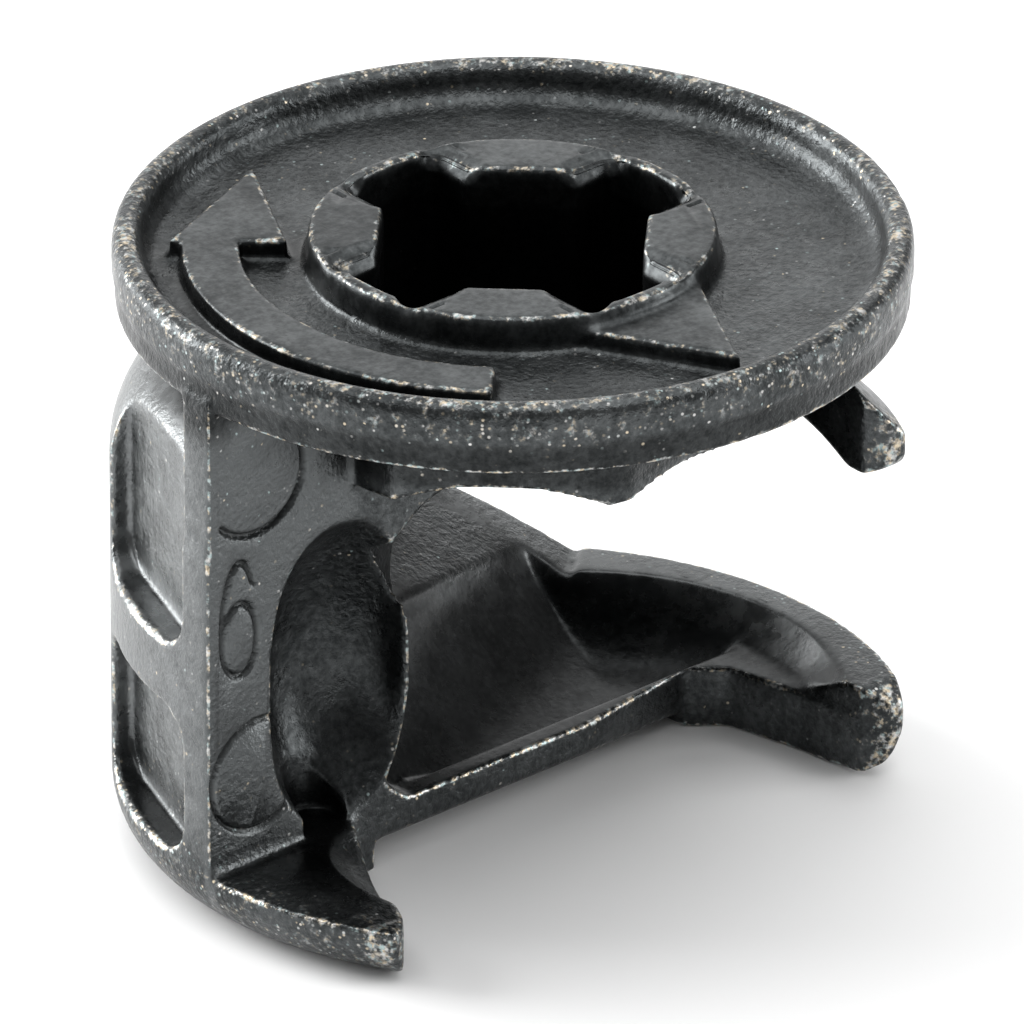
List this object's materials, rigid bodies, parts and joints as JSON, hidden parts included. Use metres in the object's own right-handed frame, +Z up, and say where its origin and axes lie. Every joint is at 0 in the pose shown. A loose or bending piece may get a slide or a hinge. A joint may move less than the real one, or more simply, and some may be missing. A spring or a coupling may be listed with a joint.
{
  "type": "cam_lock_fitting",
  "caption": "Dark die-cast cam fitting for furniture panels: a drum with a star drive socket, a locking arrow and hooked claws that draw in a connecting bolt",
  "frame": {"origin": "centre of the underside, on the turning axis", "axes": "+Z up the turning axis, to the cover disc; +Y away from the mouth, the way the bolt goes in; +X to the right, seen from the mouth"},
  "size_m": [0.015, 0.0149, 0.0122],
  "materials": {
    "cast_metal": "dark passivated zinc die casting, fine grain, edges worn to bright metal"
  },
  "bodies": {
    "root": {"cam": "cast_metal"}
  },
  "joints": []
}
